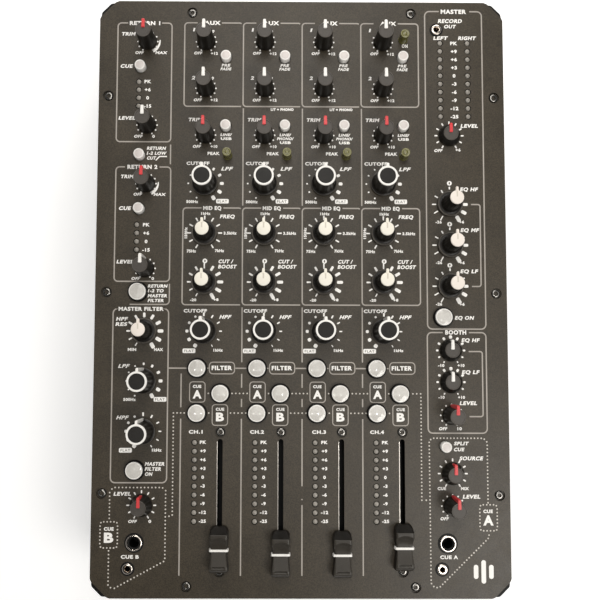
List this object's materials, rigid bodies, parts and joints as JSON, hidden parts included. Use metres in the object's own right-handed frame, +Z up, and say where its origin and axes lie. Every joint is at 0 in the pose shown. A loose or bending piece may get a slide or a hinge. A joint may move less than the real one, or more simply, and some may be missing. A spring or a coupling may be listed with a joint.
{
  "type": "dj mixer",
  "caption": "Tabletop DJ mixer: chamfered faceplate on a shallow metal case, with rotary knobs, push buttons, long-throw channel faders, level lamps and rear sockets.",
  "frame": {"origin": "centre of the footprint, on the plane that the feet stand on", "axes": "+X to the user's right, +Y from the front edge towards the rear panel, +Z up out of the faceplate"},
  "size_m": [0.275, 0.4, 0.1028],
  "materials": {
    "powder_coat": "fine matt powder coat",
    "case_paint": "matt black powder coat",
    "panel_paint": "matt black powder coat",
    "circuit_board": "solder mask",
    "knob_plastic": "soft matt",
    "fader_plastic": "satin",
    "button_plastic": "translucent satin",
    "white_plastic": "satin",
    "red_plastic": "satin",
    "legend_ink": "screen printed",
    "line_ink": "screen printed",
    "nickel": "plated",
    "black_steel": "black oxide",
    "lamp_lens": "diffused lens",
    "indicator_lens": "tinted lens",
    "rubber": "moulded",
    "insulator": "moulded",
    "phono_red": "moulded",
    "phono_white": "moulded"
  },
  "bodies": {
    "mixer_base": {"faceplate": "powder_coat", "case_shell": "case_paint", "rear_panel": "panel_paint", "control_board": "circuit_board"},
    "ch1_fader": {"ch1_fader": "fader_plastic"},
    "ch2_fader": {"ch2_fader": "fader_plastic"},
    "ch3_fader": {"ch3_fader": "fader_plastic"},
    "ch4_fader": {"ch4_fader": "fader_plastic"},
    "pre_fade_buttons": {"pre_fade_buttons": "button_plastic"},
    "input_select_buttons": {"input_select_buttons": "button_plastic"},
    "filter_buttons": {"filter_buttons": "button_plastic"},
    "cue_a_buttons": {"cue_a_buttons": "button_plastic"},
    "cue_b_buttons": {"cue_b_buttons": "button_plastic"},
    "left_column_buttons": {"left_column_buttons": "button_plastic"},
    "right_column_buttons": {"right_column_buttons": "button_plastic"},
    "ch1_aux_1_knob": {"ch1_aux_1_knob": "knob_plastic"},
    "ch1_aux_2_knob": {"ch1_aux_2_knob": "knob_plastic"},
    "ch1_trim_knob": {"ch1_trim_knob": "knob_plastic"},
    "ch1_low_pass_knob": {"ch1_low_pass_knob": "knob_plastic"},
    "ch1_mid_frequency_knob": {"ch1_mid_frequency_knob": "knob_plastic"},
    "ch1_mid_gain_knob": {"ch1_mid_gain_knob": "knob_plastic"},
    "ch1_high_pass_knob": {"ch1_high_pass_knob": "knob_plastic"},
    "ch2_aux_1_knob": {"ch2_aux_1_knob": "knob_plastic"},
    "ch2_aux_2_knob": {"ch2_aux_2_knob": "knob_plastic"},
    "ch2_trim_knob": {"ch2_trim_knob": "knob_plastic"},
    "ch2_low_pass_knob": {"ch2_low_pass_knob": "knob_plastic"},
    "ch2_mid_frequency_knob": {"ch2_mid_frequency_knob": "knob_plastic"},
    "ch2_mid_gain_knob": {"ch2_mid_gain_knob": "knob_plastic"},
    "ch2_high_pass_knob": {"ch2_high_pass_knob": "knob_plastic"},
    "ch3_aux_1_knob": {"ch3_aux_1_knob": "knob_plastic"},
    "ch3_aux_2_knob": {"ch3_aux_2_knob": "knob_plastic"},
    "ch3_trim_knob": {"ch3_trim_knob": "knob_plastic"},
    "ch3_low_pass_knob": {"ch3_low_pass_knob": "knob_plastic"},
    "ch3_mid_frequency_knob": {"ch3_mid_frequency_knob": "knob_plastic"},
    "ch3_mid_gain_knob": {"ch3_mid_gain_knob": "knob_plastic"},
    "ch3_high_pass_knob": {"ch3_high_pass_knob": "knob_plastic"},
    "ch4_aux_1_knob": {"ch4_aux_1_knob": "knob_plastic"},
    "ch4_aux_2_knob": {"ch4_aux_2_knob": "knob_plastic"},
    "ch4_trim_knob": {"ch4_trim_knob": "knob_plastic"},
    "ch4_low_pass_knob": {"ch4_low_pass_knob": "knob_plastic"},
    "ch4_mid_frequency_knob": {"ch4_mid_frequency_knob": "knob_plastic"},
    "ch4_mid_gain_knob": {"ch4_mid_gain_knob": "knob_plastic"},
    "ch4_high_pass_knob": {"ch4_high_pass_knob": "knob_plastic"},
    "return_1_trim_knob": {"return_1_trim_knob": "knob_plastic"},
    "return_1_level_knob": {"return_1_level_knob": "knob_plastic"},
    "return_2_trim_knob": {"return_2_trim_knob": "knob_plastic"},
    "return_2_level_knob": {"return_2_level_knob": "knob_plastic"},
    "filter_resonance_knob": {"filter_resonance_knob": "knob_plastic"},
    "master_low_pass_knob": {"master_low_pass_knob": "knob_plastic"},
    "master_high_pass_knob": {"master_high_pass_knob": "knob_plastic"},
    "cue_b_level_knob": {"cue_b_level_knob": "knob_plastic"},
    "master_level_knob": {"master_level_knob": "knob_plastic"},
    "master_high_eq_knob": {"master_high_eq_knob": "knob_plastic"},
    "master_mid_eq_knob": {"master_mid_eq_knob": "knob_plastic"},
    "master_low_eq_knob": {"master_low_eq_knob": "knob_plastic"},
    "booth_high_eq_knob": {"booth_high_eq_knob": "knob_plastic"},
    "booth_low_eq_knob": {"booth_low_eq_knob": "knob_plastic"},
    "booth_level_knob": {"booth_level_knob": "knob_plastic"},
    "cue_a_source_knob": {"cue_a_source_knob": "knob_plastic"},
    "cue_a_level_knob": {"cue_a_level_knob": "knob_plastic"}
  },
  "joints": [
    {"name": "ch1_fader_slide", "type": "slide", "parent": "mixer_base", "child": "ch1_fader", "axis": [0, 1, 0], "range_m": [-0.0063, 0.0672]},
    {"name": "ch2_fader_slide", "type": "slide", "parent": "mixer_base", "child": "ch2_fader", "axis": [0, 1, 0], "range_m": [-0.0036, 0.0699]},
    {"name": "ch3_fader_slide", "type": "slide", "parent": "mixer_base", "child": "ch3_fader", "axis": [0, 1, 0], "range_m": [-0.0033, 0.0702]},
    {"name": "ch4_fader_slide", "type": "slide", "parent": "mixer_base", "child": "ch4_fader", "axis": [0, 1, 0], "range_m": [-0.0078, 0.0657]},
    {"name": "pre_fade_buttons_press", "type": "slide", "parent": "mixer_base", "child": "pre_fade_buttons", "axis": [0, 0, -1], "range_m": [0, 0.0015], "stiffness_N_per_m": 800, "springref_m": -0.0005},
    {"name": "input_select_buttons_press", "type": "slide", "parent": "mixer_base", "child": "input_select_buttons", "axis": [0, 0, -1], "range_m": [0, 0.0015], "stiffness_N_per_m": 800, "springref_m": -0.0005},
    {"name": "filter_buttons_press", "type": "slide", "parent": "mixer_base", "child": "filter_buttons", "axis": [0, 0, -1], "range_m": [0, 0.0015], "stiffness_N_per_m": 800, "springref_m": -0.0005},
    {"name": "cue_a_buttons_press", "type": "slide", "parent": "mixer_base", "child": "cue_a_buttons", "axis": [0, 0, -1], "range_m": [0, 0.0015], "stiffness_N_per_m": 800, "springref_m": -0.0005},
    {"name": "cue_b_buttons_press", "type": "slide", "parent": "mixer_base", "child": "cue_b_buttons", "axis": [0, 0, -1], "range_m": [0, 0.0015], "stiffness_N_per_m": 800, "springref_m": -0.0005},
    {"name": "left_column_buttons_press", "type": "slide", "parent": "mixer_base", "child": "left_column_buttons", "axis": [0, 0, -1], "range_m": [0, 0.0015], "stiffness_N_per_m": 800, "springref_m": -0.0005},
    {"name": "right_column_buttons_press", "type": "slide", "parent": "mixer_base", "child": "right_column_buttons", "axis": [0, 0, -1], "range_m": [0, 0.0015], "stiffness_N_per_m": 800, "springref_m": -0.0005},
    {"name": "ch1_aux_1_turn", "type": "hinge", "parent": "mixer_base", "child": "ch1_aux_1_knob", "pos_m": [-0.0649, 0.1716, 0.08], "axis": [0, 0, 1], "range_deg": [-150, 150]},
    {"name": "ch1_aux_2_turn", "type": "hinge", "parent": "mixer_base", "child": "ch1_aux_2_knob", "pos_m": [-0.0649, 0.1392, 0.08], "axis": [0, 0, 1], "range_deg": [-150, 150]},
    {"name": "ch1_trim_turn", "type": "hinge", "parent": "mixer_base", "child": "ch1_trim_knob", "pos_m": [-0.0649, 0.1069, 0.08], "axis": [0, 0, 1], "range_deg": [-150, 150]},
    {"name": "ch1_low_pass_turn", "type": "hinge", "parent": "mixer_base", "child": "ch1_low_pass_knob", "pos_m": [-0.0649, 0.0737, 0.08], "axis": [0, 0, 1], "range_deg": [-150, 150]},
    {"name": "ch1_mid_frequency_turn", "type": "hinge", "parent": "mixer_base", "child": "ch1_mid_frequency_knob", "pos_m": [-0.0649, 0.04, 0.08], "axis": [0, 0, 1], "range_deg": [-150, 150]},
    {"name": "ch1_mid_gain_turn", "type": "hinge", "parent": "mixer_base", "child": "ch1_mid_gain_knob", "pos_m": [-0.0649, 0.007, 0.08], "axis": [0, 0, 1], "range_deg": [-150, 150]},
    {"name": "ch1_high_pass_turn", "type": "hinge", "parent": "mixer_base", "child": "ch1_high_pass_knob", "pos_m": [-0.0649, -0.0259, 0.08], "axis": [0, 0, 1], "range_deg": [-150, 150]},
    {"name": "ch2_aux_1_turn", "type": "hinge", "parent": "mixer_base", "child": "ch2_aux_1_knob", "pos_m": [-0.0249, 0.1716, 0.08], "axis": [0, 0, 1], "range_deg": [-150, 150]},
    {"name": "ch2_aux_2_turn", "type": "hinge", "parent": "mixer_base", "child": "ch2_aux_2_knob", "pos_m": [-0.0249, 0.1392, 0.08], "axis": [0, 0, 1], "range_deg": [-150, 150]},
    {"name": "ch2_trim_turn", "type": "hinge", "parent": "mixer_base", "child": "ch2_trim_knob", "pos_m": [-0.0249, 0.1069, 0.08], "axis": [0, 0, 1], "range_deg": [-150, 150]},
    {"name": "ch2_low_pass_turn", "type": "hinge", "parent": "mixer_base", "child": "ch2_low_pass_knob", "pos_m": [-0.0249, 0.0737, 0.08], "axis": [0, 0, 1], "range_deg": [-150, 150]},
    {"name": "ch2_mid_frequency_turn", "type": "hinge", "parent": "mixer_base", "child": "ch2_mid_frequency_knob", "pos_m": [-0.0249, 0.04, 0.08], "axis": [0, 0, 1], "range_deg": [-150, 150]},
    {"name": "ch2_mid_gain_turn", "type": "hinge", "parent": "mixer_base", "child": "ch2_mid_gain_knob", "pos_m": [-0.0249, 0.007, 0.08], "axis": [0, 0, 1], "range_deg": [-150, 150]},
    {"name": "ch2_high_pass_turn", "type": "hinge", "parent": "mixer_base", "child": "ch2_high_pass_knob", "pos_m": [-0.0249, -0.0259, 0.08], "axis": [0, 0, 1], "range_deg": [-150, 150]},
    {"name": "ch3_aux_1_turn", "type": "hinge", "parent": "mixer_base", "child": "ch3_aux_1_knob", "pos_m": [0.0151, 0.1716, 0.08], "axis": [0, 0, 1], "range_deg": [-150, 150]},
    {"name": "ch3_aux_2_turn", "type": "hinge", "parent": "mixer_base", "child": "ch3_aux_2_knob", "pos_m": [0.0151, 0.1392, 0.08], "axis": [0, 0, 1], "range_deg": [-150, 150]},
    {"name": "ch3_trim_turn", "type": "hinge", "parent": "mixer_base", "child": "ch3_trim_knob", "pos_m": [0.0151, 0.1069, 0.08], "axis": [0, 0, 1], "range_deg": [-150, 150]},
    {"name": "ch3_low_pass_turn", "type": "hinge", "parent": "mixer_base", "child": "ch3_low_pass_knob", "pos_m": [0.0151, 0.0737, 0.08], "axis": [0, 0, 1], "range_deg": [-150, 150]},
    {"name": "ch3_mid_frequency_turn", "type": "hinge", "parent": "mixer_base", "child": "ch3_mid_frequency_knob", "pos_m": [0.0151, 0.04, 0.08], "axis": [0, 0, 1], "range_deg": [-150, 150]},
    {"name": "ch3_mid_gain_turn", "type": "hinge", "parent": "mixer_base", "child": "ch3_mid_gain_knob", "pos_m": [0.0151, 0.007, 0.08], "axis": [0, 0, 1], "range_deg": [-150, 150]},
    {"name": "ch3_high_pass_turn", "type": "hinge", "parent": "mixer_base", "child": "ch3_high_pass_knob", "pos_m": [0.0151, -0.0259, 0.08], "axis": [0, 0, 1], "range_deg": [-150, 150]},
    {"name": "ch4_aux_1_turn", "type": "hinge", "parent": "mixer_base", "child": "ch4_aux_1_knob", "pos_m": [0.0551, 0.1716, 0.08], "axis": [0, 0, 1], "range_deg": [-150, 150]},
    {"name": "ch4_aux_2_turn", "type": "hinge", "parent": "mixer_base", "child": "ch4_aux_2_knob", "pos_m": [0.0551, 0.1392, 0.08], "axis": [0, 0, 1], "range_deg": [-150, 150]},
    {"name": "ch4_trim_turn", "type": "hinge", "parent": "mixer_base", "child": "ch4_trim_knob", "pos_m": [0.0551, 0.1069, 0.08], "axis": [0, 0, 1], "range_deg": [-150, 150]},
    {"name": "ch4_low_pass_turn", "type": "hinge", "parent": "mixer_base", "child": "ch4_low_pass_knob", "pos_m": [0.0551, 0.0737, 0.08], "axis": [0, 0, 1], "range_deg": [-150, 150]},
    {"name": "ch4_mid_frequency_turn", "type": "hinge", "parent": "mixer_base", "child": "ch4_mid_frequency_knob", "pos_m": [0.0551, 0.04, 0.08], "axis": [0, 0, 1], "range_deg": [-150, 150]},
    {"name": "ch4_mid_gain_turn", "type": "hinge", "parent": "mixer_base", "child": "ch4_mid_gain_knob", "pos_m": [0.0551, 0.007, 0.08], "axis": [0, 0, 1], "range_deg": [-150, 150]},
    {"name": "ch4_high_pass_turn", "type": "hinge", "parent": "mixer_base", "child": "ch4_high_pass_knob", "pos_m": [0.0551, -0.0259, 0.08], "axis": [0, 0, 1], "range_deg": [-150, 150]},
    {"name": "return_1_trim_turn", "type": "hinge", "parent": "mixer_base", "child": "return_1_trim_knob", "pos_m": [-0.1047, 0.1716, 0.08], "axis": [0, 0, 1], "range_deg": [-150, 150]},
    {"name": "return_1_level_turn", "type": "hinge", "parent": "mixer_base", "child": "return_1_level_knob", "pos_m": [-0.1045, 0.1136, 0.08], "axis": [0, 0, 1], "range_deg": [-150, 150]},
    {"name": "return_2_trim_turn", "type": "hinge", "parent": "mixer_base", "child": "return_2_trim_knob", "pos_m": [-0.1046, 0.0734, 0.08], "axis": [0, 0, 1], "range_deg": [-150, 150]},
    {"name": "return_2_level_turn", "type": "hinge", "parent": "mixer_base", "child": "return_2_level_knob", "pos_m": [-0.1045, 0.016, 0.08], "axis": [0, 0, 1], "range_deg": [-150, 150]},
    {"name": "filter_resonance_turn", "type": "hinge", "parent": "mixer_base", "child": "filter_resonance_knob", "pos_m": [-0.1045, -0.0259, 0.08], "axis": [0, 0, 1], "range_deg": [-150, 150]},
    {"name": "master_low_pass_turn", "type": "hinge", "parent": "mixer_base", "child": "master_low_pass_knob", "pos_m": [-0.1044, -0.059, 0.08], "axis": [0, 0, 1], "range_deg": [-150, 150]},
    {"name": "master_high_pass_turn", "type": "hinge", "parent": "mixer_base", "child": "master_high_pass_knob", "pos_m": [-0.1043, -0.0921, 0.08], "axis": [0, 0, 1], "range_deg": [-150, 150]},
    {"name": "cue_b_level_turn", "type": "hinge", "parent": "mixer_base", "child": "cue_b_level_knob", "pos_m": [-0.1046, -0.1402, 0.08], "axis": [0, 0, 1], "range_deg": [-150, 150]},
    {"name": "master_level_turn", "type": "hinge", "parent": "mixer_base", "child": "master_level_knob", "pos_m": [0.1, 0.1071, 0.08], "axis": [0, 0, 1], "range_deg": [-150, 150]},
    {"name": "master_high_eq_turn", "type": "hinge", "parent": "mixer_base", "child": "master_high_eq_knob", "pos_m": [0.0998, 0.06, 0.08], "axis": [0, 0, 1], "range_deg": [-150, 150]},
    {"name": "master_mid_eq_turn", "type": "hinge", "parent": "mixer_base", "child": "master_mid_eq_knob", "pos_m": [0.0998, 0.0323, 0.08], "axis": [0, 0, 1], "range_deg": [-150, 150]},
    {"name": "master_low_eq_turn", "type": "hinge", "parent": "mixer_base", "child": "master_low_eq_knob", "pos_m": [0.0996, 0.0046, 0.08], "axis": [0, 0, 1], "range_deg": [-150, 150]},
    {"name": "booth_high_eq_turn", "type": "hinge", "parent": "mixer_base", "child": "booth_high_eq_knob", "pos_m": [0.0994, -0.0383, 0.08], "axis": [0, 0, 1], "range_deg": [-150, 150]},
    {"name": "booth_low_eq_turn", "type": "hinge", "parent": "mixer_base", "child": "booth_low_eq_knob", "pos_m": [0.0994, -0.0593, 0.08], "axis": [0, 0, 1], "range_deg": [-150, 150]},
    {"name": "booth_level_turn", "type": "hinge", "parent": "mixer_base", "child": "booth_level_knob", "pos_m": [0.0995, -0.0812, 0.08], "axis": [0, 0, 1], "range_deg": [-150, 150]},
    {"name": "cue_a_source_turn", "type": "hinge", "parent": "mixer_base", "child": "cue_a_source_knob", "pos_m": [0.0998, -0.1193, 0.08], "axis": [0, 0, 1], "range_deg": [-150, 150]},
    {"name": "cue_a_level_turn", "type": "hinge", "parent": "mixer_base", "child": "cue_a_level_knob", "pos_m": [0.0996, -0.1404, 0.08], "axis": [0, 0, 1], "range_deg": [-150, 150]}
  ]
}
